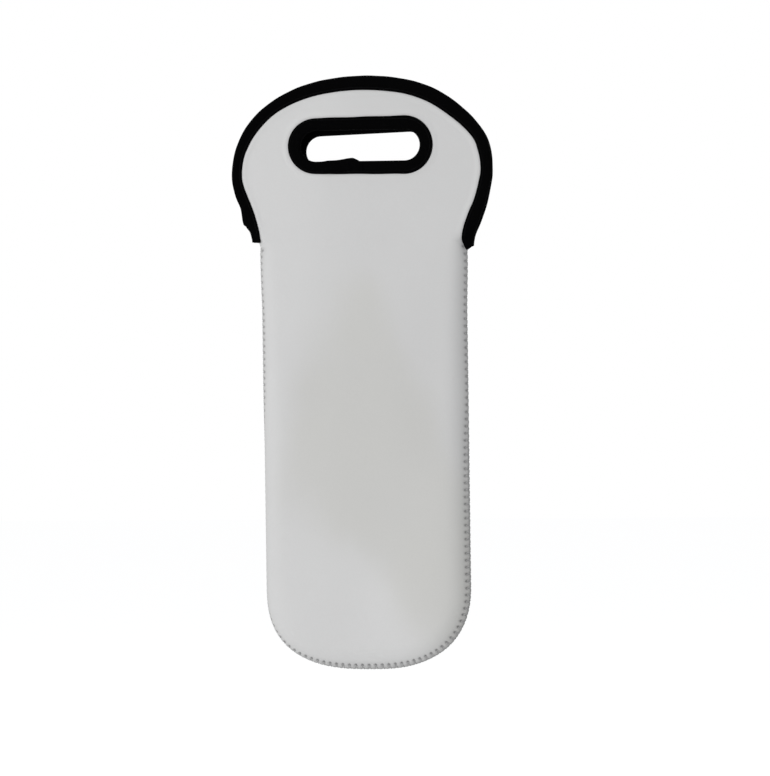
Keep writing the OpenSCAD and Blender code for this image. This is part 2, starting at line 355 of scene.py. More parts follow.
def section(arc, swollen):
    """The pouch's section as a curve round its stitched edge.

    The skin runs on a circle until it slopes by m, goes on rising with a slope that fades
    out, and has a slow extra swell of 3q^2-2q^3 towards the middle. Past the edge, at a
    negative arc, it is its own mirror image. Returns the inset, the height and the
    direction into the skin.
    """
    face = np.where(arc < 0.0, -1.0, 1.0)
    arc = np.abs(arc)
    end = EDGE_TURN * EDGE_R
    turn = np.minimum(arc, end) / EDGE_R
    past = np.maximum(arc - end, 0.0)
    depth = MOUTH_DEPTH + (SHOULDER_DEPTH - MOUTH_DEPTH) * swollen
    gain, slope = rise(past, depth - EDGE_R * math.sin(EDGE_TURN))
    inset = EDGE_R * (1.0 - np.cos(turn)) + past
    belly = BELLY_EXTRA * swollen * smooth((inset - BELLY_IN) / BELLY_REACH)
    height = EDGE_R * np.sin(turn) + gain + belly
    into_x = np.where(past > 0.0, slope, np.cos(turn))
    into_h = np.where(past > 0.0, -1.0, -np.sin(turn))
    norm = np.hypot(into_x, into_h)
    return inset, face * height, into_x / norm, face * into_h / norm


def mouth_height(inset, layer):
    """The height of a ply at the mouth at an inset from the stitched edge.

    A circle up to where its slope is m, then the same fading rise as in the section.
    """
    inset = np.maximum(inset, 0.0)
    core = EDGE_R - layer
    limit = EDGE_R - core * math.cos(EDGE_TURN)
    low = np.sqrt(np.maximum(core ** 2 - (EDGE_R - np.minimum(inset, limit)) ** 2, 0.0))
    room = MOUTH_DEPTH - EDGE_R * math.sin(EDGE_TURN) - layer * (1.0 - math.sin(EDGE_TURN))
    return low + rise(np.maximum(inset - limit, 0.0), room)[0]


def relief(x, z, side):
    """Soft hollows and swellings of a panel, a sum of wide bells and one slow wave."""
    total = 0.0
    for high, mid_x, half_x, mid_z, half_z in SOFT_FORMS[side]:
        total = total + high * bell((x - mid_x) / half_x) * bell((z - mid_z) / half_z)
    long_x, start_x, long_z, start_z = SOFT_WAVE[side]
    return total + WAVE_HEIGHT * np.sin(x / long_x + start_x) * np.sin(z / long_z + start_z)


def relief_share(inset):
    """How much of the relief there is at an inset from the stitched edge, 0 to 1."""
    return smooth((inset - RELIEF_IN) / RELIEF_REACH)


def needle_lag(side):
    """Share of a stitch by which a panel's needle holes come later along the seam."""
    return 0.0 if side == FRONT else NEEDLE_LAG


def round_corner(x, z):
    """Draws the bottom's right corner in a little: a push left and up, smooth in x and z."""
    share = smooth((x - 15.0) / 30.0) * smooth((-270.0 - z) / 35.0)
    return x - CORNER_IN * share, z + CORNER_UP * share


def stitch_pull(way, arc, side):
    """What the seam thread does to the skin, outwards in millimetres.

    The skin puffs up between two threads, by a cosine along the seam, and sinks in a narrow
    bell at each needle hole, in a groove through the holes and where the two panels meet.
    """
    beat = stitch_at(way) - 0.5 - needle_lag(side)
    off, past = (beat - np.round(beat)) * PITCH, arc - NEEDLE_ARC
    lean = beat - PUFF_LEAN * side * (1.0 - np.clip(arc / NEEDLE_ARC, 0.0, 1.0))
    puff = PUFF * (1.0 - np.cos(2.0 * math.pi * lean))
    puff = puff * smooth(arc / 0.8) * (1.0 - smooth((arc - 2.6) / 3.0))
    hole = HOLE * bell(off / HOLE_LONG) * bell(past / HOLE_WIDE)
    return puff - GROOVE * bell(past / GROOVE_HALF) - hole - JOIN * bell(arc / JOIN_HALF)


def even_pull(arc):
    """The same evened out along the seam, for the plies under the face: two bells."""
    return -0.75 * bell((arc - NEEDLE_ARC) / 1.8) - 0.25 * bell(arc / 1.5)


# the head

def dense_head():
    """The head's outline over its tape, from the left tail over the top to the right tail.

    Two necks through their named half widths, and |x/a|^p + |z/b|^p = 1 above the widest
    line, with two bumps on the right.
    """
    z1 = np.linspace(TAIL_LEFT_Z, WIDEST_Z, 700)[:-1]
    z3 = np.linspace(WIDEST_Z, TAIL_RIGHT_Z, 700)[1:]
    x1 = -curve_through(z1, LEFT_NECK_Z, LEFT_NECK, last_slope=0.0)
    x3 = curve_through(z3, RIGHT_NECK_Z, RIGHT_NECK, last_slope=0.0)
    turn = np.linspace(0.0, math.pi, 2400)
    c, s = -np.cos(turn), np.sin(turn).clip(0.0)
    half = LEFT_HALF + (RIGHT_HALF - LEFT_HALF) * smooth(0.5 + 0.5 * c)
    x2 = half * np.sign(c) * np.abs(c) ** (2.0 / HEAD_POWER)
    z2 = WIDEST_Z + HEAD_RISE * s ** (2.0 / HEAD_POWER)
    x2 = x2 + (c > 0.0) * sum(out * bell((z2 - at) / half_z) for out, at, half_z in RIGHT_BUMPS)
    return np.concatenate([x1, x2, x3]), np.concatenate([z1, z2, z3])


def head_line(side):
    """The outline at even steps: the way along it, its place and its inward direction.

    The front flap hangs a little to the right and the back one to the left.
    """
    x, z = dense_head()
    x = x + side * FLAP_SHIFT * smooth((z - SHIFT_Z) / SHIFT_H)
    way = way_along(x, z)
    even = np.linspace(0.0, way[-1], int(round(way[-1] / HEAD_STEP)) + 1)
    x, z = np.interp(even, way, x), np.interp(even, way, z)
    go_x, go_z = np.gradient(x, even), np.gradient(z, even)
    norm = np.hypot(go_x, go_z)
    return even, x, z, go_z / norm, -go_x / norm


HEAD = {side: head_line(side) for side in (FRONT, BACK)}
HEAD_TOP_WAY = {side: line[0][line[2].argmax()] for side, line in HEAD.items()}


def tape_width(way, side):
    """Visible width of the edge tape; the back one was sewn on from the other side."""
    return curve_through(side * (way - HEAD_TOP_WAY[side]), TAPE_PLACE, TAPE_WIDTH)


def nearest_on_head(x, z, side):
    """Distance to the head's outline and the way along it, for many points."""
    distance, way = np.empty(len(x)), np.empty(len(x))
    line, chunk = HEAD[side], 4000
    for start in range(0, len(x), chunk):
        part = slice(start, start + chunk)
        square = (x[part, None] - line[1]) ** 2 + (z[part, None] - line[2]) ** 2
        best = square.argmin(1)
        distance[part] = np.sqrt(square[np.arange(len(best)), best])
        way[part] = line[0][best]
    return distance, way


def slot_frame(side):
    """Middle and direction of a hand slot; the back one hangs a little lower and askew."""
    tilt = math.radians(SLOT_TILT[side])
    return SLOT_MIDDLE[side], (math.cos(tilt), math.sin(tilt))


def slot_ring(way):
    """Place on the slot's middle line and direction, for a way round the opening.

    It starts at the left end of the bottom edge, runs right along it, up round the right
    end, back along the top and round the left end.
    """
    stops = [0.0, 2 * SLOT_CORE, 2 * SLOT_CORE + SLOT_BEND, 4 * SLOT_CORE + SLOT_BEND, SLOT_ROUND]
    q = np.mod(way, SLOT_ROUND)
    along = np.interp(q, stops, [-SLOT_CORE, SLOT_CORE, SLOT_CORE, -SLOT_CORE, -SLOT_CORE])
    angle = np.interp(q, stops, np.radians([-90.0, -90.0, 90.0, 90.0, 270.0]))
    return along, np.cos(angle), np.sin(angle)


def away_from_slot(x, z, side):
    """The direction away from the nearest point of the slot's middle line, and the distance."""
    (mx, mz), (ux, uz) = slot_frame(side)
    along = np.clip((x - mx) * ux + (z - mz) * uz, -SLOT_CORE, SLOT_CORE)
    off_x, off_z = x - (mx + along * ux), z - (mz + along * uz)
    length = np.hypot(off_x, off_z)
    return off_x / length, off_z / length, length


def slot_ways(x, z, side):
    """For each point of a closed clockwise loop, the way round the slot that faces it.

    Ways that lie too close together are spread, so that no two strips of the head coincide.
    """
    (mx, mz), (ux, uz) = slot_frame(side)
    along = (x - mx) * ux + (z - mz) * uz
    off = (z - mz) * ux - (x - mx) * uz
    core = np.clip(along, -SLOT_CORE, SLOT_CORE)
    angle = np.mod(np.arctan2(off, along - core) + 0.5 * math.pi, 2.0 * math.pi)
    below = angle < 0.75 * math.pi
    way = SLOT_R * angle + np.where(below, core + SLOT_CORE, 3.0 * SLOT_CORE - core)
    lap = np.concatenate([way, way[:1]]) * (2.0 * math.pi / SLOT_ROUND)
    steps = np.minimum(np.diff(np.unwrap(lap)), -0.3 * 2.0 * math.pi / len(way))
    steps = steps * (2.0 * math.pi / -steps.sum())
    spread = np.concatenate([[0.0], np.cumsum(steps[:-1])])
    start = np.mean(np.unwrap(lap[:-1]) - spread)
    return (start + spread) * SLOT_ROUND / (2.0 * math.pi)


def flap_height(x, z, layer, edge, width, slot, side):
    """The height of a ply of the head.

    Near the mouth it follows the pouch's section, and above it the flap is flat but for the
    relief. Both tapes press a groove along their stitches and raise a lip beyond their edge:
    edge and slot are the distances from the head's outline and from the slot's opening.
    """
    up = smooth((z - MOUTH_Z) / FLAT_H)
    seam_inset = POUCH_HALF + MOUTH_WIDEN - np.abs(x)
    inset = seam_inset + (edge - PANEL_IN - seam_inset) * smooth((z - MOUTH_Z) / OUTLINE_H)
    press = 0.0
    for past, lip in ((edge - width, EDGE_LIP), (slot - SLOT_TAPE_W, SLOT_LIP)):
        press = (press + PRESS * bell((past + STITCH_IN) / PRESS_HALF)
                 - lip * bell((past - LIP_HALF) / LIP_HALF))
    soft = relief(x, z, side) * (relief_share(inset) * (1.0 - up) + up)
    flap = MOUTH_DEPTH - layer - press * (1.0 - 0.6 * layer) * up
    return (1.0 - up) * mouth_height(inset, layer) + up * flap + soft


# panels

# How fine a panel's grid is: every how many stations along the seam, the arcs of the rings
# near it and the rings on to the middle, every how many points of the head's outline, the
# points of a neck's bend, and the rings' steps at the rim and at the slot and their number
# in between. The face alone shows every stitch.
FINE = {"station": 1, "far": 9, "outline": 1, "neck": 18, "rim": 0.85, "slot": 0.85,
        "between": 24, "stitched": True,
        "near": (0.0, 0.45, 0.9, 1.4, 1.9, 2.4, 2.9, 3.3, 3.7, 4.1, 4.7, 5.5, 6.6, 8.0, 10.0,
                 12.5, 15.5, 19.0, 23.0)}
COARSE = {"station": 3, "far": 8, "outline": 2, "neck": 9, "rim": 2.0, "slot": 1.8,
          "between": 12, "stitched": False,
          "near": (0.0, 1.2, 2.4, 3.6, 5.0, 7.0, 10.0, 14.0, 18.0, 23.0)}
RIM_BAND = 14.0
SLOT_BAND = 11.0
HEAD_ARC = 60.0  # the arc that a head's points are given, far from the seam


def pouch_part(side, layer, grain):
    """One ply of the pouch as a grid of stations along the U and rings from it inwards.

    The first rings follow the section round the edge; the others go straight to the middle
    line, or to one pole above the round bottom. Returns x, z, height, way and arc.
    """
    way = np.linspace(0.0, SEAM_LENGTH, STATIONS // grain["station"] + 1)[:, None]
    x0, z0, out_x, out_z = seam_at(way)
    swollen = swelling(z0)
    arc = np.asarray(grain["near"])[None, :] + 0.0 * way
    round_arc = rolled(arc, way, side)
    inset, height, into_x, into_h = section(round_arc, swollen)
    pull = stitch_pull(way, arc, side) if grain["stitched"] else even_pull(arc)
    pull = pull * smooth(np.minimum(way, SEAM_LENGTH - way) / SEAM_END)
    push = layer - pull * (1.0 - layer / LAMINATE)
    gone, height = inset + push * into_x, height + push * into_h
    x, z = x0 - out_x * gone, z0 - out_z * gone
    q = (np.arange(1, grain["far"] + 1) / grain["far"])[None, :]
    end_x, end_z = 0.0 * z0, np.maximum(z0, ROUND_Z)
    xc, zc = x[:, -1:], z[:, -1:]
    gap = np.hypot(end_x - xc, end_z - zc)
    far_in, far_h, _, far_dh = section(round_arc[:, -1:] + gap * q, swollen)
    x = np.concatenate([x, xc + (end_x - xc) * q], 1)
    z = np.concatenate([z, zc + (end_z - zc) * q], 1)
    x[:, -1], z[:, -1] = 0.0, end_z[:, 0]
    height = np.concatenate([height, far_h + layer * far_dh], 1)
    height = height + relief(x, z, side) * relief_share(np.concatenate([inset, far_in], 1))
    x, z = round_corner(x, z)
    # past the near rings the arc is nominal: only the painted shade of the holes and the join reads
    # it
    arc = np.concatenate([arc, 24.0 + 20.0 * q + 0.0 * way], 1)
    return x, z, height, way + 0.0 * x, arc


def head_rim(side, grain):
    """The head's outline inside its tape, with a bend at each neck to the mouth's corner.

    Each bend is a quadratic curve, (1-t)^2 corner + 2t(1-t) control point + t^2 outline.
    """
    _, x, z, in_x, in_z = HEAD[side]
    x, z = x + PANEL_IN * in_x, z + PANEL_IN * in_z
    high = np.nonzero(z > MOUTH_Z + NECK_JOIN)[0][::grain["outline"]]
    x, z = x[high], z[high]
    corner = POUCH_HALF + MOUTH_WIDEN
    t = np.linspace(0.0, 1.0, grain["neck"])[1:-1]
    first, middle, last = (1 - t) ** 2, 2 * t * (1 - t), t ** 2
    low_x = first * corner + middle * (corner + 0.2)
    low_z = first * MOUTH_Z + middle * (MOUTH_Z + 6.7)
    return (np.concatenate([last * x[0] - low_x, x, (low_x + last * x[-1])[::-1]]),
            np.concatenate([low_z + last * z[0], z, (low_z + last * z[-1])[::-1]]))


def head_rings(loop_x, loop_z, side, grain):
    """The head's strips: from its outer loop inwards, across, and square on to the slot."""
    outer = np.arange(0.0, RIM_BAND + 0.01, grain["rim"])[None, :]
    inner = np.arange(0.0, SLOT_BAND + 0.01, grain["slot"])[None, ::-1]
    between = (np.arange(1, grain["between"]) / grain["between"])[None, :]
    ray_x, ray_z, _ = away_from_slot(loop_x, loop_z, side)
    first_x = loop_x[:, None] - ray_x[:, None] * outer
    first_z = loop_z[:, None] - ray_z[:, None] * outer
    cx, cz, dir_x, dir_z = slot_lines(side, slot_ways(loop_x, loop_z, side)[:, None])[:4]
    reach = SLOT_R + PANEL_IN + inner
    last_x, last_z = cx + dir_x * reach, cz + dir_z * reach
    mid_x = first_x[:, -1:] + (last_x[:, :1] - first_x[:, -1:]) * between
    mid_z = first_z[:, -1:] + (last_z[:, :1] - first_z[:, -1:]) * between
    return np.concatenate([first_x, mid_x, last_x], 1), np.concatenate([first_z, mid_z, last_z], 1)


def panel_plies(side, layers, grain):
    """The plies of one panel, pouch and head in one grid with shared vertices at the mouth.

    The head's rings run from its outline and the mouth line to the edge of the slot, each
    along the ray that leaves the slot's middle line there. Returns the skins, their
    triangles, and for each point the stitches up to it and its arc.
    """
    def whole(pouch, head):
        """The values of both grids in one row."""
        return np.concatenate([pouch.ravel(), head.ravel()])

    plies = [pouch_part(side, layer, grain) for layer in layers]
    pouch_x, pouch_z, _, pouch_way, pouch_arc = plies[0]
    index = np.arange(pouch_x.size).reshape(pouch_x.shape)
    half = len(index) // 2
    # both sides of the pouch share the middle line, and its low end is the pole
    index[half + 1:, -1] = index[:half, -1][::-1]
    index[pouch_z[:, -1] <= ROUND_Z, -1] = index[half, -1]
    # the head's outer loop: its outline from left to right, then the mouth line back
    mouth = np.concatenate([index[-1, :-1], index[0, ::-1]])
    rim_x, rim_z = head_rim(side, grain)
    x, z = head_rings(np.concatenate([rim_x, pouch_x.ravel()[mouth]]),
                      np.concatenate([rim_z, pouch_z.ravel()[mouth]]), side, grain)
    from_slot = away_from_slot(x, z, side)[2] - SLOT_R
    edge, way = nearest_on_head(x.ravel(), z.ravel(), side)
    edge, width = edge.reshape(x.shape), tape_width(way, side).reshape(x.shape)
    head_index = index.size + np.arange(x.size).reshape(x.shape)
    head_index[len(rim_x):, 0] = mouth
    all_x, all_z = whole(pouch_x, x), whole(pouch_z, z)
    tris = np.concatenate([facing_front(grid_triangles(index), all_x, all_z),
                           facing_front(grid_triangles(head_index, closed=True), all_x, all_z)])
    used, tris = np.unique(tris, return_inverse=True)
    skins = []
    for layer, ply in zip(layers, plies):
        height = flap_height(x, z, layer, edge, width, from_slot, side)
        points = [whole(ply[0], x), -side * whole(ply[2], height), whole(ply[1], z)]
        skins.append(np.stack(points, -1)[used])
    marks = np.stack([whole(stitch_at(pouch_way) - needle_lag(side), np.zeros(x.size)),
                      whole(pouch_arc, np.full(x.size, HEAD_ARC)),
                      np.zeros(all_x.size)], -1)[used]
    return skins, tris.reshape(-1, 3), marks


def panel(side, knit, foam, lining):
    """Face knit, foam core and lining of one panel, each a closed shell of its own."""
    name = NAME[side]
    skins, tris, marks = panel_plies(side, (0.0, SKIN), FINE)
    face = make_piece(name + "_face_knit", *shell(skins[0], skins[1], tris), knit,
                      "seam", np.concatenate([marks, marks]))
    levels = (SKIN + PLY_GAP, LAMINATE - SKIN - PLY_GAP, LAMINATE - SKIN, LAMINATE)
    skins, tris, _ = panel_plies(side, levels, COARSE)
    core = make_piece(name + "_foam_core", *shell(skins[0], skins[1], tris), foam)
    inside = make_piece(name + "_lining_knit", *shell(skins[2], skins[3], tris), lining)
    for piece in (face, core, inside):
        hinge_blend(piece)
    stand_for(face, "face_knit", name + "_pouch_fabric", name + "_fold", name + "_flap_fabric")
    stand_for(core, "foam", name + "_pouch_foam", name + "_flap_foam")
    stand_for(inside, "lining_knit", name + "_pouch_lining", name + "_flap_lining")


# tapes

LEG = np.array([[0.0, 0.04, 0.1, 0.18, 0.26, 0.36, 0.5, 0.66, 0.83]])
FOLD_POINTS = 11
INNER_LEG_SHORT = 0.4


def tape_section(outer, inner, width):
    """A tape's plain section: distances from the fold's crest, and heights.

    The outer leg comes in from its edge, the fold turns half round, the inner leg goes back.
    """
    turn = np.linspace(0.5 * math.pi, -0.5 * math.pi, FOLD_POINTS)
    under = width - INNER_LEG_SHORT
    legs_out = width + (TAPE_FOLD_R - width) * LEG
    legs_in = under + (TAPE_FOLD_R - under) * LEG[:, ::-1]
    fold = TAPE_FOLD_R + 0.0 * width
    top, low = outer(fold), inner(fold)
    middle, radius = 0.5 * (top + low), 0.5 * (top - low)
    d = np.concatenate([legs_out, TAPE_FOLD_R * (1.0 - np.cos(turn)) + 0.0 * width, legs_in], 1)
    height = np.concatenate([outer(legs_out), middle + radius * np.sin(turn), inner(legs_in)], 1)
    return d, height


def tape_piece(name, line, section_at, moved, start, slide, side, material):
    """A tape carried along a line, as a closed shell of two skins a tape's thickness apart.

    line is the way, the place and the inward direction. The weave follows the plain section
    section_at; the section moved is the one that is built. It begins start millimetres from
    the line, and slide pushes its points along the line.
    """
    way, x, z, in_x, in_z = line
    d, height = moved
    go_d, go_h = np.gradient(d, axis=1), np.gradient(height, axis=1)
    norm = np.hypot(go_d, go_h)
    # the section runs inwards over the fold, so its left side is the inside
    skins = (d, height), (d + TAPE_T * (-go_h / norm), height + TAPE_T * (go_d / norm))
    grids = [np.stack([x + in_x * (start + skin_d) - in_z * slide, -side * skin_h,
                       z + in_z * (start + skin_d) + in_x * slide], -1).reshape(-1, 3)
             for skin_d, skin_h in skins]
    points, faces = shell(*grids, grid_triangles(np.arange(d.size).reshape(d.shape)))
    d, height = section_at
    steps = np.hypot(np.diff(d, axis=1), np.diff(height, axis=1))
    across = np.concatenate([np.zeros((len(d), 1)), np.cumsum(steps, 1)], 1)
    marks = np.stack([way + 0.0 * d, across, 0.0 * d], -1).reshape(-1, 3)
    return make_piece(name, points, faces, material, "tape", np.concatenate([marks, marks]))


def edge_line(side):
    """What the edge tape and its threads share: the line, the width and both heights.

    The tape lies its thickness and a gap over the panel and as much under it, with a little
    more over it at the tails.
    """
    line = tuple(part[:, None] for part in HEAD[side])
    way, x, z, in_x, in_z = line
    width = tape_width(way, side)
    tail = 1.0 - smooth((z - MOUTH_Z + 1.0) / FLAT_H)

    def panel_height(d, layer):
        level = np.maximum(z + in_z * d, MOUTH_Z)
        return flap_height(x + in_x * d, level, layer, d, width, AWAY, side)

    def outer(d):
        return np.maximum(panel_height(d, 0.0), 3.4) + TAPE_T + TAPE_GAP + TAIL_RAISE * tail

    def inner(d):
        return np.maximum(panel_height(d, LAMINATE) - TAPE_T - TAPE_GAP, 0.12)

    return line, width, outer, inner


def edge_tape(side, material):
    """Black tape folded over the head's edge, a U section carried along the outline.

    The fold wavers a little, the width follows its named values, and the two tails end in
    slanted cuts. At the front's left tail the fold has a small step.
    """
    name = NAME[side]
    line, width, outer, inner = edge_line(side)
    way = line[0]
    d, height = tape_section(outer, inner, width)
    waver = 0.05 * np.sin(way / 6.1 + 0.7 * side) + 0.04 * np.sin(way / 2.3 + 1.1)
    if side == FRONT:
        high = smooth(way - STEP_WAY)
        waver = waver + (STEP_ABOVE * smooth((24.0 - way) / 12.5) * high
                         + STEP_BELOW * smooth((way - 5.5) / 5.0) * (1.0 - high))
    moved = d - (1.0 - smooth(d / 4.0)) * waver, height
    left, right = TAIL_SLANT[side]
    slide = (right * smooth((way - way.max() + SLANT_LENGTH) / SLANT_LENGTH)
             - left * (1.0 - smooth(way / SLANT_LENGTH))) * np.clip(d / width, 0.0, 1.0)
    piece = tape_piece(name + "_edge_tape", line, (d, height), moved, 0.0, slide, side, material)
    hinge_blend(piece)
    stand_for(piece, "binding_tape", name + "_edge_binding", name + "_binding_tails")


def slot_lines(side, way):
    """Place, direction and the two heights of the slot's tape for a way round it.

    The tape lies its thickness and a gap over the panel and as much under it.
    """
    (mx, mz), (ux, uz) = slot_frame(side)
    along, c, s = slot_ring(way)
    cx, cz = mx + along * ux, mz + along * uz
    dir_x, dir_z = c * ux - s * uz, c * uz + s * ux

    def panel_height(d, layer):
        reach = SLOT_R + d
        return flap_height(cx + dir_x * reach, cz + dir_z * reach, layer, AWAY, 0.0, d, side)

    def outer(d):
        return panel_height(d, 0.0) + TAPE_T + TAPE_GAP

    def inner(d):
        return panel_height(d, LAMINATE) - TAPE_T - TAPE_GAP

    return cx, cz, dir_x, dir_z, outer, inner


def slot_tape(side, material):
    """Black tape folded over the slot's edge, a U section carried round the opening.

    Its end laps over its start at the bottom: there the fold lifts into the opening, the end
    is cut on a slant, and a few short creases run across the lap.
    """
    name = NAME[side]
    total = SLOT_ROUND + LAP_LENGTH
    run = np.linspace(0.0, total, int(total / SLOT_TAPE_STEP) + 1)[:, None]
    cx, cz, dir_x, dir_z, outer, inner = slot_lines(side, SLOT_CORE + LAP_START_X + run)
    left = total - run
    along = (cx - SLOT_MIDDLE[side][0]) / SLOT_CORE
    width = SLOT_TAPE_W + 0.35 * along - 0.5 * bell((left - 3.0) / 9.0)
    d, height = tape_section(outer, inner, width + 0.1 * np.sin(run / 3.7))
    over = smooth((LAP_LENGTH + 6.0 - left) / 6.0)
    near_end = smooth((LAP_LENGTH + 2.0 - left) / (LAP_LENGTH + 2.0))
    crest = 1.0 - smooth(d / 5.0)
    crease = bell((left + 1.0) / 6.0) * np.sin(run * 2.1 + 0.5 * d)
    crease = crease * smooth(d / 2.0) * smooth((width - d) / 2.0)
    fold = TAPE_FOLD_R + 0.0 * run
    upwards = np.sign(height - 0.5 * (outer(fold) + inner(fold)))
    moved = (d - crest * (LAP_LIFT * over + LAP_INTO_SLOT * near_end ** 2),
             height + upwards * (LAP_LIFT * over * (1.0 - 0.6 * crest) + 0.2 * crease))
    slant = 1.0 - (1.0 - np.clip(d / 4.0, 0.0, 1.0)) ** 2
    slide = LAP_SLANT * slant * smooth(1.0 - left / SLANT_LENGTH)
    piece = tape_piece(name + "_slot_tape", (run, cx, cz, dir_x, dir_z), (d, height), moved,
                       SLOT_R, slide, side, material)
    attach(piece, name + "_flap")
    stand_for(piece, "binding_tape", name + "_slot_binding")


# threads

def tube(path, radius, closed):
    """A round thread along a path: a circle carried square to it, capped if it has ends."""
    go = np.roll(path, -1, 0) - np.roll(path, 1, 0) if closed else np.gradient(path, axis=0)
    go = go / np.linalg.norm(go, axis=1, keepdims=True)
    guide = np.where(np.abs(go[:, 1:2]) > 0.9, [[1.0, 0.0, 0.0]], [[0.0, 1.0, 0.0]])
    u = np.cross(go, guide)
    u = u / np.linalg.norm(u, axis=1, keepdims=True)
    v = np.cross(go, u)
    angle = np.linspace(0.0, 2.0 * math.pi, THREAD_SIDES, endpoint=False)
    ring = (np.cos(angle)[None, :, None] * u[:, None, :]
            + np.sin(angle)[None, :, None] * v[:, None, :])
    points = (path[:, None, :] + radius * ring).reshape(-1, 3)
    rows, sides = len(path), THREAD_SIDES
    index = np.arange(rows * sides).reshape(rows, sides)
    tris = grid_triangles(np.concatenate([index, index[:, :1]], 1), closed=closed)
    way = np.concatenate([[0.0], np.cumsum(np.linalg.norm(np.diff(path, axis=0), axis=1))])
    marks = np.stack([np.repeat(way, sides), np.tile(angle, rows), np.zeros(rows * sides)], -1)
    if not closed:
        third = np.arange(2, sides)
        caps = np.stack([0 * third, third, third - 1], -1)
        tris = np.concatenate([tris, caps, caps[:, ::-1] + (rows - 1) * sides])
    return points, tris, marks


def thread_piece(name, paths, radius, material, closed=False):
    """Threads along their paths as one piece: their points in a row, triangles counted on."""
    tubes = [tube(path, radius, closed) for path in paths]
    starts = np.cumsum([0] + [len(points) for points, _, _ in tubes[:-1]])
    return make_piece(name, np.concatenate([points for points, _, _ in tubes]),
                      np.concatenate([tris + start for (_, tris, _), start in zip(tubes, starts)]),
                      material, "twist", np.concatenate([marks for _, _, marks in tubes]))


def stitch_wave(way, pitch):
    """How high a topstitch stands over its tape: a flat arch that dives at each hole."""
    return TOP_ARCH - TOP_DIVE * (1.0 - np.abs(np.sin(math.pi * way / pitch)) ** 0.35)


def edge_stitches(side, material):
    """Needle and bobbin thread along the edge tape, a stitch's arch after another."""
    line, width, outer, inner = edge_line(side)
    way, inset = line[0], width - STITCH_IN
    fine = np.arange(4.0, way.max() - 4.0, TOP_PITCH / POINTS_A_STITCH)
    x, z, in_x, in_z, d, top, low = (np.interp(fine, way[:, 0], part[:, 0]) for part in
                                     line[1:] + (inset, outer(inset), inner(inset)))
    lift = stitch_wave(fine, TOP_PITCH)
    paths = [np.stack([x + in_x * d, -side * height, z + in_z * d], -1)
             for height in (top + lift, low - lift)]
    piece = thread_piece(NAME[side] + "_edge_thread", paths, TOP_THREAD_R, material)
    hinge_blend(piece)
    stand_for(piece, "binding_thread", NAME[side] + "_edge_stitch")


def slot_stitches(side, material):
    """Needle and bobbin thread round the slot's tape, higher where its end laps over."""
    count = int(round(SLOT_ROUND / TOP_PITCH))
    way = np.linspace(0.0, SLOT_ROUND, count * POINTS_A_STITCH, endpoint=False)[:, None]
    cx, cz, dir_x, dir_z, outer, inner = slot_lines(side, way)
    d = SLOT_TAPE_W - STITCH_IN + 0.0 * way
    x, z = cx + dir_x * (SLOT_R + d), cz + dir_z * (SLOT_R + d)
    lift = stitch_wave(way, SLOT_ROUND / count)
    from_lap = np.abs(cx + 3.0) + 40.0 * (dir_z > 0.0)
    over = LAP_LIFT * (1.0 - smooth((from_lap - 5.0) / 4.0))
    paths = [np.concatenate([x, -side * height, z], 1)
             for height in (outer(d) + lift + over, inner(d) - lift - over)]
    piece = thread_piece(NAME[side] + "_slot_thread", paths, TOP_THREAD_R, material, closed=True)
    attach(piece, NAME[side] + "_flap")
    stand_for(piece, "binding_thread", NAME[side] + "_slot_stitch")


def seam_zigzag(material):
    """The thread of the side seam: from a hole in front over the edge to one at the back.

    Its way round the edge is a cosine, and its way along the seam leans forward on the way
    over and comes back slanting; it dives at each hole.
    """
    points_a_stitch = 14
    beat = np.arange(STITCHES * points_a_stitch + 1) / points_a_stitch
    part = beat - np.floor(beat)
    lean = np.where(part < 0.5, part / 1.5, NEEDLE_LAG + (part - 0.5) / 0.75)
    way = np.clip(way_at(np.floor(beat) + 0.5 + lean), 0.3, SEAM_LENGTH - 0.3)
    keep = np.concatenate([[True], np.diff(way) > 1e-6])
    way, swing = way[keep], np.cos(2.0 * math.pi * part[keep])
    x0, z0, out_x, out_z = seam_at(way)
    inset, height, into_x, into_h = section(rolled(NEEDLE_ARC * swing, way, FRONT), swelling(z0))
    dive = SEAM_THREAD_OUT - SEAM_THREAD_DIVE * np.abs(swing) ** 10
    gone, height = inset - dive * into_x, height - dive * into_h
    x, z = round_corner(x0 - out_x * gone, z0 - out_z * gone)
    piece = thread_piece("side_seam_zigzag", [np.stack([x, -height, z], -1)], SEAM_THREAD_R,
                         material)
    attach(piece, "pouch")
    stand_for(piece, "seam_thread", "side_seam_thread")


# materials

WHITE = (1.0, 1.0, 1.0, 1.0)
# the second white is warmer and darker: partly a warmer tint, partly painted shade of the front's
# soft dent
FACE_WHITE, FACE_TINT_AND_SHADE = (0.668, 0.668, 0.666, 1.0), (0.624, 0.622, 0.602, 1.0)
LINING_WHITE = (0.61, 0.61, 0.6, 1.0)
FOAM_WHITE = (0.86, 0.85, 0.81, 1.0)
THREAD_BLACK = (0.0022, 0.0022, 0.0025, 1.0)
THREAD_GREY = (0.56, 0.56, 0.56, 1.0)
# width and height of a knit's loop, of a tape's rib and pick, and a thread's lay
FACE_LOOP, LINING_LOOP = (0.56, 0.44), (0.62, 0.5)
TAPE_RIB, TAPE_PICK = 0.95, 0.42
THREAD_LAY = 0.9
SHEEN_ROUGHNESS = 0.6


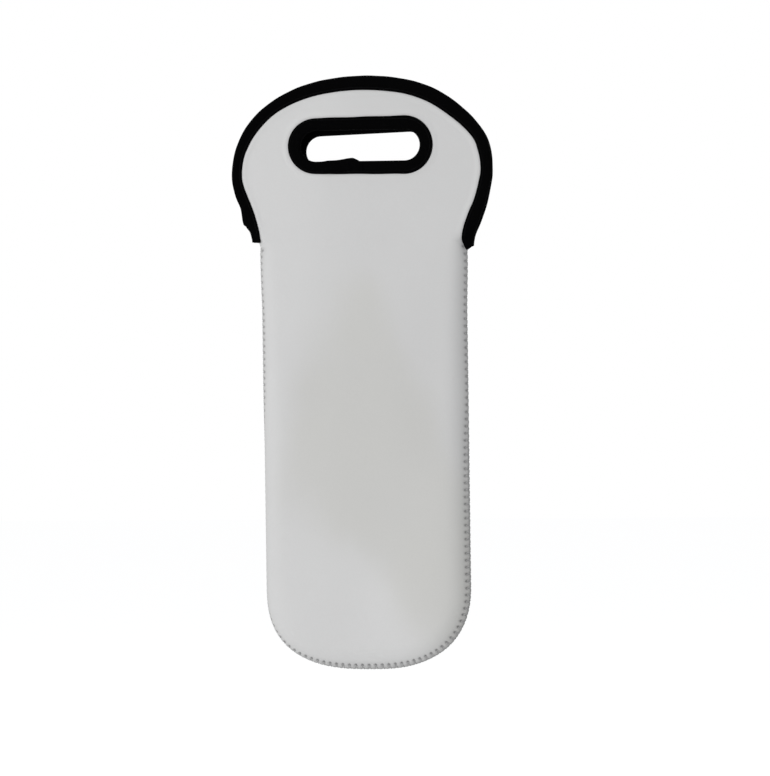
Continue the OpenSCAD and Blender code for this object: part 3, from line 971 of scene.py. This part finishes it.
class Wire:
    """A node's output; the operators and methods on it add Math nodes to its tree."""

    def __init__(self, tree, socket):
        self.tree, self.socket = tree, socket

    def math(self, operation, *terms):
        node = self.tree.nodes.new("ShaderNodeMath")
        node.operation = operation
        for socket, term in zip(node.inputs, terms):
            feed(self.tree, socket, term)
        return Wire(self.tree, node.outputs[0])

    def __add__(self, other):
        return self.math("ADD", self, other)

    def __sub__(self, other):
        return self.math("SUBTRACT", self, other)

    def __rsub__(self, other):
        return self.math("SUBTRACT", other, self)

    def __mul__(self, other):
        return self.math("MULTIPLY", self, other)

    def __truediv__(self, other):
        return self.math("DIVIDE", self, other)

    def __pow__(self, other):
        return self.math("POWER", self, other)

    __radd__, __rmul__ = __add__, __mul__

    def sine(self):
        return self.math("SINE", self)

    def size(self):
        return self.math("ABSOLUTE", self)

    def part(self):
        return self.math("FRACT", self)

    def squared(self):
        return self.math("MULTIPLY", self, self)

    def root(self):
        return self.math("SQRT", self)

    def exp(self):
        return self.math("EXPONENT", self)

    def highest(self, other):
        return self.math("MAXIMUM", self, other)


def feed(tree, socket, value):
    """Links a wire to a socket, or sets the socket's own value."""
    if isinstance(value, Wire):
        tree.links.new(value.socket, socket)
    else:
        socket.default_value = value


class Finish:
    """The node tree of a material or the world, and one method that adds any node to it."""

    def __init__(self, owner):
        owner.use_nodes = True
        self.owner, self.tree = owner, owner.node_tree
        self.tree.nodes.clear()

    def add(self, kind, settings=None, sockets=None, out=0):
        """A node with its settings, then the values or links of its sockets."""
        node = self.tree.nodes.new(kind)
        for key, value in (settings or {}).items():
            setattr(node, key, value)
        for key, value in (sockets or {}).items():
            feed(self.tree, node.inputs[key], value)
        return Wire(self.tree, node.outputs[out]) if len(node.outputs) else None

    def parts(self, vector):
        """The three numbers of a vector, as wires."""
        return [self.add("ShaderNodeSeparateXYZ", None, {0: vector}, out=i) for i in range(3)]

    def place(self):
        """Object coordinates in millimetres, as a vector and as three wires."""
        point = self.add("ShaderNodeTexCoord", out="Object")
        scaled = self.add("ShaderNodeVectorMath", {"operation": "SCALE"},
                          {0: point, "Scale": 1000.0})
        return scaled, self.parts(scaled)

    def marks(self, name):
        """A piece's own attribute, as wires."""
        return self.parts(self.add("ShaderNodeAttribute", {"attribute_name": name}, None, "Vector"))

    def noise(self, vector, scale, detail=2.0, rough=0.5):
        """A soft random cloud from 0 to 1; scale is in clouds a millimetre."""
        return self.add("ShaderNodeTexNoise", {"noise_dimensions": "3D"},
                        {"Vector": vector, "Scale": scale, "Detail": detail, "Roughness": rough})

    def mix(self, share, one, two):
        """One colour, and the other where the share is 1."""
        return self.add("ShaderNodeMix", {"data_type": "RGBA"},
                        {"Factor": share, 6: one, 7: two}, 2)

    def tint(self, red, green, blue):
        """Three varying numbers as a colour."""
        return self.add("ShaderNodeCombineColor", None, {0: red, 1: green, 2: blue})

    def times(self, colour, grey):
        """A colour multiplied by a varying grey."""
        return self.add("ShaderNodeMix", {"data_type": "RGBA", "blend_type": "MULTIPLY"},
                        {"Factor": 1.0, 6: colour, 7: self.tint(grey, grey, grey)}, 2)

    def seen_past(self):
        """1 for the rays that look past the object: from the camera, in gloss, through glass."""
        camera_ray, gloss_ray, glass_ray = (
            self.add("ShaderNodeLightPath", out="Is " + kind + " Ray")
            for kind in ("Camera", "Glossy", "Transmission"))
        return camera_ray.highest(gloss_ray).highest(glass_ray)

    def surface(self, colour, roughness, height, depth, specular, sheen=0.0):
        """Principled shader, with a bump whose height of 1 is depth in millimetres."""
        bump = self.add("ShaderNodeBump", None,
                        {"Strength": 1.0, "Distance": depth * MM, "Height": height})
        shader = self.add("ShaderNodeBsdfPrincipled", None, {
            "Base Color": colour, "Roughness": roughness, "Specular IOR Level": specular,
            "Sheen Weight": sheen, "Sheen Roughness": SHEEN_ROUGHNESS, "Normal": bump})
        self.add("ShaderNodeOutputMaterial", None, {"Surface": shader})
        return self.owner


def finish(name):
    """The tree of a new material."""
    return Finish(bpy.data.materials.new(name))


def side_of(distance):
    """1 well past a line and 0 well before it: 1 / (1 + e^(-distance/9mm))."""
    return ((distance * (-1.0 / 9.0)).exp() + 1.0) ** -1.0


def spot(x, z, mid_x, mid_z, tight_x, tight_z):
    """A soft round patch: e to the power of -(k (x-a)^2 + m (z-b)^2)."""
    return ((x - mid_x).squared() * -tight_x + (z - mid_z).squared() * -tight_z).exp()


def knit_height(x, z, wale, course):
    """Height of a plain knit: rounded columns, each cut into a row of small Vs."""
    column = (x * (math.pi / wale)).sine().size()
    lean = (x / wale).part() - 0.5
    loops = ((z / course + lean.size() * 1.1) * (2.0 * math.pi)).sine()
    return column * (loops * 0.28 + 0.72)


def face_knit():
    """White polyester knit of the face: columns of small loops under a soft cloud of greys.

    Painted shade: a needle hole is a dark bell of its distance, darker towards the bottom of the U,
    and the join of the panels is a dark line, for the shade in the holes and in the seam's valley.
    Between five soft lines on the front lies a warmer, darker area: partly a warmer tint and partly
    painted shade of the belly's soft dent. On the back a warmer tint comes and goes at random.
    Bells make a painted highlight and a painted shaded spot, three soft lines make a painted
    highlight strip low on the right, and the front outside three of the lines is painted a little
    lighter.
    """
    f = finish("white_face_knit")
    place, (x, y, z) = f.place()
    stitch, arc, _ = f.marks("seam")
    cloud, fine = f.noise(place, 0.018), f.noise(place, 0.9, 3.0, 0.6)
    wander = (cloud - 0.5) * 50.0

    def past(a, b, c):
        """1 past the wandering line a x + b z + c = 0, and 0 before it."""
        return side_of(x * a + z * b + c + wander)

    # painted shade: the colour darkens at each needle hole, more towards the bottom of the U, for
    # the shade inside the holes
    far = (((stitch.part() - 0.5) * PITCH).squared() + (arc - NEEDLE_ARC).squared()).root()
    hole_shade_strength = ((stitch * (1.0 / 26.0) - 2.8).squared() * -1.0).exp() * 0.32 + 0.5
    hole = (far.squared() * -1.5).exp() * hole_shade_strength
    # painted shade: the colour darkens along the join of the panels, for the shade in the seam's
    # valley
    join_shade = (arc.squared() * -0.075).exp()
    front = side_of(y * -9.0)
    # partly a warmer tint, partly painted shade: on the front the face turns warmer and darker
    # between five soft lines, for the shade of the belly's soft dent; on the back a warmer tint
    # comes and goes at random
    above = past(0.26, 1.0, 240.0).highest(past(1.4, 1.0, 250.0)) * past(1.8, -0.3, 30.0)
    patch = above * past(1.33, -1.0, -80.0) * past(-2.4, -1.0, -61.0) * (cloud * 0.5 + 0.6)
    tint_and_shade = patch * front + (1.0 - front) * cloud * 0.6
    # painted light and shade on the front: a lighter spot low on the belly, a darker spot in the
    # soft dent, a lighter strip low on the right, and a lighter front outside three of the lines
    pale = spot(x, z, 12.0, -283.0, 0.0022, 0.0011)
    shaded_spot = spot(x, z, -38.0, -145.0, 0.006, 0.0013)
    lit_strip_low_right = side_of(x - 24.0) * side_of(57.0 - x) * side_of(-195.0 - z)
    light = (1.0 - above) * 0.035 + pale * 0.045 - shaded_spot * 0.03 + lit_strip_low_right * 0.06
    grey = (1.0 - hole) * (1.0 - join_shade * 0.44) * (cloud * 0.05 + 0.975) * (fine * 0.05 + 0.975)
    colour = f.times(f.mix(tint_and_shade, FACE_WHITE, FACE_TINT_AND_SHADE), grey * (light * front + 1.0))
    height = knit_height(x, z, *FACE_LOOP) * 0.05 + fine * 0.03
    return f.surface(colour, 0.92, height, 1.0, 0.2, 0.04)


def lining_knit():
    """The knit inside, a little greyer and coarser: the same columns of small loops."""
    f = finish("white_lining_knit")
    place, (x, _, z) = f.place()
    cloud, fine = f.noise(place, 0.03), f.noise(place, 1.1, 3.0, 0.6)
    colour = f.times(LINING_WHITE, (cloud * 0.08 + 0.96) * (fine * 0.08 + 0.96))
    height = knit_height(x, z, *LINING_LOOP) * 0.06 + fine * 0.04
    return f.surface(colour, 0.94, height, 1.0, 0.2, 0.04)


def foam_cells():
    """Closed-cell foam: pale, with fine round pores, the distance to the nearest cell's middle."""
    f = finish("pale_foam")
    place, _ = f.place()
    cells = f.add("ShaderNodeTexVoronoi", {"feature": "F1"}, {"Vector": place, "Scale": 2.2})
    cloud = f.noise(place, 0.05)
    colour = f.times(FOAM_WHITE, (cells * 0.25 + 0.8) * (cloud * 0.06 + 0.97))
    return f.surface(colour, 0.85, cells, 0.12, 0.25)


def black_tape():
    """Black woven tape: sines for its ribs and the fine picks across, and specks of lint."""
    f = finish("black_binding_tape")
    place, _ = f.place()
    way, side, _ = f.marks("tape")
    ribs = (side * (2.0 * math.pi / TAPE_RIB)).sine()
    picks = ((way + ribs * 0.06) * (2.0 * math.pi / TAPE_PICK)).sine()
    lint, long_lint = f.noise(place, 0.7, 3.0, 0.65), f.noise(place, 0.12)
    wear = (lint - 0.5).highest(0.0) * (long_lint * 1.4)
    grey = ribs * 0.0003 + picks * 0.0002 + 0.0009 + wear * 0.008
    height = ribs * 0.5 + picks * 0.3 + lint * 0.5
    return f.surface(f.tint(grey, grey, grey * 1.12), 0.9, height, 0.09, 0.02)


def twisted_thread(name, colour, specular):
    """A plied thread: two furrows wind round it, a sine of way and angle, darkened in colour as
    painted shade.
    """
    f = finish(name)
    way, angle, _ = f.marks("twist")
    furrow = (way * (2.0 * math.pi / THREAD_LAY) + angle * 2.0).sine() * 0.5 + 0.5
    # painted shade: the colour darkens in the furrows, where the bump is low
    return f.surface(f.times(colour, furrow * 0.22 + 0.78), 0.7, furrow, 0.06, specular)


# stage, light, camera

PHOTO_W = 770
MM_A_PIXEL = 0.6160
CAMERA_AZIMUTH = 10.3
CAMERA_ROLL = -0.805
CAMERA_AWAY = 1712.0
AIM_RIGHT = 12.18
AIM_Z = -148.7
SENSOR_W = 36.0
ROOM_TINT = (0.985, 0.99, 1.0, 1.0)
ROOM_LIGHT = 0.445
FLOOR_GREY = (0.8, 0.8, 0.8, 1.0)
FLOOR_GLOW = 0.64
# metres from here on
FLOOR_Z = -0.66
FLOOR_HALF = 9.0
LAMP_AIM = (0.0, 0.0, -0.14)
# name, place, side and watts
LAMPS = (("key", (-0.85, -1.6, 0.15), 1.1, 15.3),
         ("back", (0.1, 1.8, 0.3), 1.1, 13.0),
         ("top", (0.0, -0.1, 1.6), 0.9, 6.5))


def white_room():
    """World light for the object, and plain white for what looks past it."""
    world = bpy.data.worlds.new("room")
    bpy.context.scene.world = world
    f = Finish(world)
    light = f.add("ShaderNodeBackground", None, {"Color": ROOM_TINT, "Strength": ROOM_LIGHT})
    white = f.add("ShaderNodeBackground", None, {"Color": WHITE, "Strength": 1.0})
    room = f.add("ShaderNodeMixShader", None, {0: f.seen_past(), 1: light, 2: white})
    f.add("ShaderNodeOutputWorld", None, {"Surface": room})


def pale_floor():
    """A plain floor well below the hanging carrier: white to the camera, with its shadow."""
    f = finish("white_floor")
    paint = f.add("ShaderNodeBsdfDiffuse", None, {"Color": FLOOR_GREY})
    glow = f.add("ShaderNodeEmission", None, {"Color": WHITE, "Strength": FLOOR_GLOW})
    dark = f.add("ShaderNodeEmission", None, {"Color": WHITE, "Strength": 0.0})
    extra = f.add("ShaderNodeMixShader", None, {0: f.seen_past(), 1: dark, 2: glow})
    both = f.add("ShaderNodeAddShader", None, {0: paint, 1: extra})
    f.add("ShaderNodeOutputMaterial", None, {"Surface": both})
    mesh = bpy.data.meshes.new("floor")
    corners = [(x * FLOOR_HALF, y * FLOOR_HALF, FLOOR_Z)
               for x, y in ((-1, -1), (1, -1), (1, 1), (-1, 1))]
    mesh.from_pydata(corners, [], [(0, 1, 2, 3)])
    mesh.materials.append(f.owner)
    floor = bpy.data.objects.new("floor", mesh)
    bpy.context.scene.collection.objects.link(floor)


def area_light(name, place, size, power):
    """A square soft white light at a place, turned to the middle of the carrier."""
    data = bpy.data.lights.new(name, "AREA")
    data.shape, data.size, data.energy = "SQUARE", size, power
    lamp = bpy.data.objects.new(name, data)
    lamp.location = place
    lamp.rotation_euler = (Vector(LAMP_AIM) - Vector(place)).to_track_quat("-Z", "Y").to_euler()
    bpy.context.scene.collection.objects.link(lamp)


def camera():
    """The photograph's view: from slightly right of the front, level, turned a little."""
    a, q = math.radians(CAMERA_AZIMUTH), math.radians(CAMERA_ROLL)
    right, up = Vector((math.cos(a), math.sin(a), 0.0)), Vector((0.0, 0.0, 1.0))
    forward = Vector((-math.sin(a), math.cos(a), 0.0))
    aim = right * (AIM_RIGHT * MM) + up * (AIM_Z * MM)
    place = aim - forward * (CAMERA_AWAY * MM)
    cam_x = right * math.cos(q) + up * math.sin(q)
    cam_y = up * math.cos(q) - right * math.sin(q)
    data = bpy.data.cameras.new("camera")
    data.sensor_fit, data.sensor_width = "HORIZONTAL", SENSOR_W
    data.lens = data.sensor_width * CAMERA_AWAY / (PHOTO_W * MM_A_PIXEL)
    data.clip_start, data.clip_end = 0.05, 60.0
    view = bpy.data.objects.new("camera", data)
    view.matrix_world = Matrix((
        (cam_x.x, cam_y.x, -forward.x, place.x),
        (cam_x.y, cam_y.y, -forward.y, place.y),
        (cam_x.z, cam_y.z, -forward.z, place.z),
        (0.0, 0.0, 0.0, 1.0)))
    bpy.context.scene.collection.objects.link(view)
    bpy.context.scene.camera = view


def build():
    """Makes every piece of the carrier."""
    knit, lining, foam, tape = face_knit(), lining_knit(), foam_cells(), black_tape()
    top_thread = twisted_thread("black_thread", THREAD_BLACK, 0.05)
    seam_thread = twisted_thread("grey_thread", THREAD_GREY, 0.2)
    for side in (FRONT, BACK):
        panel(side, knit, foam, lining)
        edge_tape(side, tape)
        slot_tape(side, tape)
        edge_stitches(side, top_thread)
        slot_stitches(side, top_thread)
    seam_zigzag(seam_thread)


build()
white_room()
pale_floor()
for lamp_values in LAMPS:
    area_light(*lamp_values)
camera()
bpy.context.scene.view_settings.view_transform = "Standard"
